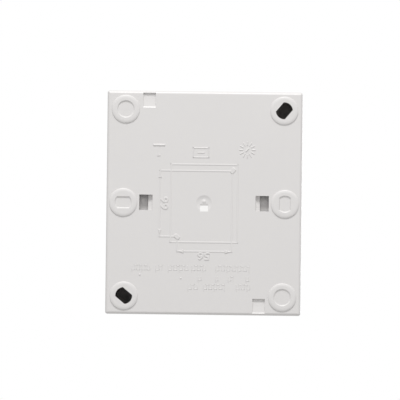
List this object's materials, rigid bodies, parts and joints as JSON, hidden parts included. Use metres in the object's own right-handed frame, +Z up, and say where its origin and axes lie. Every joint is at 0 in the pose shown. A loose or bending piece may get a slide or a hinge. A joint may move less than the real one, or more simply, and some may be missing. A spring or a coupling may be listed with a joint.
{
  "type": "wall thermostat",
  "caption": "Mechanical room thermostat for a wall: flat rear plate with fixing slots, clip-on louvred cover, setpoint dial, mode slider and lamp.",
  "frame": {"origin": "middle of the wall plane, the plane of the raised pads on the rear plate", "axes": "+Y points into the wall, the dial faces -Y, +Z up as in the picture, X across"},
  "size_m": [0.069, 0.0329, 0.079],
  "materials": {
    "case_plastic": "satin light grey moulded ABS",
    "ring_plastic": "satin mid grey",
    "dial_plastic": "semi-gloss off white",
    "stop_plastic": "dull red",
    "lens": "clear amber red",
    "dark_plastic": "dark grey phenolic",
    "terminal_plastic": "natural polyamide",
    "lamp_glass": "clear glass",
    "ceramic": "fired ceramic",
    "steel": "zinc plated",
    "brass": "turned brass",
    "capsule_metal": "pressed bronze foil",
    "wire_black": "PVC insulation",
    "wire_brown": "PVC insulation",
    "wire_blue": "PVC insulation"
  },
  "bodies": {
    "base": {"base_plate": "case_plastic", "mechanism_frame": "steel", "frame_screw_upper": "steel", "frame_screw_lower": "steel", "bridge_plate": "steel", "bridge_screw_left": "steel", "bridge_screw_right": "steel", "spindle_bush": "brass", "lever_pivot_pin": "steel", "range_spring": "steel", "snap_switch_body": "dark_plastic", "terminal_block": "terminal_plastic", "mode_switch_body": "dark_plastic", "indicator_lamp": "lamp_glass", "anticipator_resistor": "ceramic", "wire_common": "wire_black", "wire_heating": "wire_brown", "wire_lamp": "wire_blue", "wire_mode": "wire_black", "terminal_clamp_1": "brass", "terminal_screw_1": "steel", "terminal_clamp_2": "brass", "terminal_screw_2": "steel", "terminal_clamp_3": "brass", "terminal_screw_3": "steel", "terminal_clamp_4": "brass", "terminal_screw_4": "steel"},
    "cover": {"front_cover": "case_plastic", "scale_ring": "ring_plastic", "range_stop_low": "stop_plastic", "range_stop_high": "stop_plastic", "indicator_lens": "lens"},
    "dial": {"setpoint_dial": "dial_plastic"},
    "spindle": {"dial_spindle": "brass"},
    "capsule": {"sensing_capsule": "capsule_metal"},
    "lever": {"switching_lever": "steel", "calibration_screw": "brass"},
    "plunger": {"snap_switch_plunger": "stop_plastic"},
    "mode_slider": {"mode_switch_slider": "dark_plastic"}
  },
  "joints": [
    {"name": "cover_pull_off", "type": "slide", "parent": "base", "child": "cover", "axis": [0, -1, 0], "range_m": [0, 0.035]},
    {"name": "dial_turn", "type": "hinge", "parent": "cover", "child": "dial", "pos_m": [0, -0.0305, 0.006], "axis": [0, 1, 0], "range_deg": [-135, 135]},
    {"name": "spindle_turn", "type": "hinge", "parent": "base", "child": "spindle", "pos_m": [0, -0.0225, 0.006], "axis": [0, 1, 0], "range_deg": [-136, 136]},
    {"name": "capsule_travel", "type": "slide", "parent": "base", "child": "capsule", "axis": [0, -1, 0], "range_m": [-0.0004, 0.0004]},
    {"name": "lever_rock", "type": "hinge", "parent": "base", "child": "lever", "pos_m": [0, -0.0134, 0.022], "axis": [-1, 0, 0], "range_deg": [-1.4, 1.4]},
    {"name": "plunger_travel", "type": "slide", "parent": "base", "child": "plunger", "axis": [0, -1, 0], "range_m": [-0.0009, 0.0009]},
    {"name": "mode_slide", "type": "slide", "parent": "base", "child": "mode_slider", "axis": [1, 0, 0], "range_m": [0, 0.004]}
  ],
  "couplings": [
    {"joint": "spindle_turn", "follows": "dial_turn", "ratio": 1},
    {"joint": "capsule_travel", "follows": "dial_turn", "m_per_rad": 0.00015915},
    {"joint": "lever_rock", "follows": "dial_turn", "ratio": 0.0099472},
    {"joint": "plunger_travel", "follows": "dial_turn", "m_per_rad": 0.0003581}
  ]
}
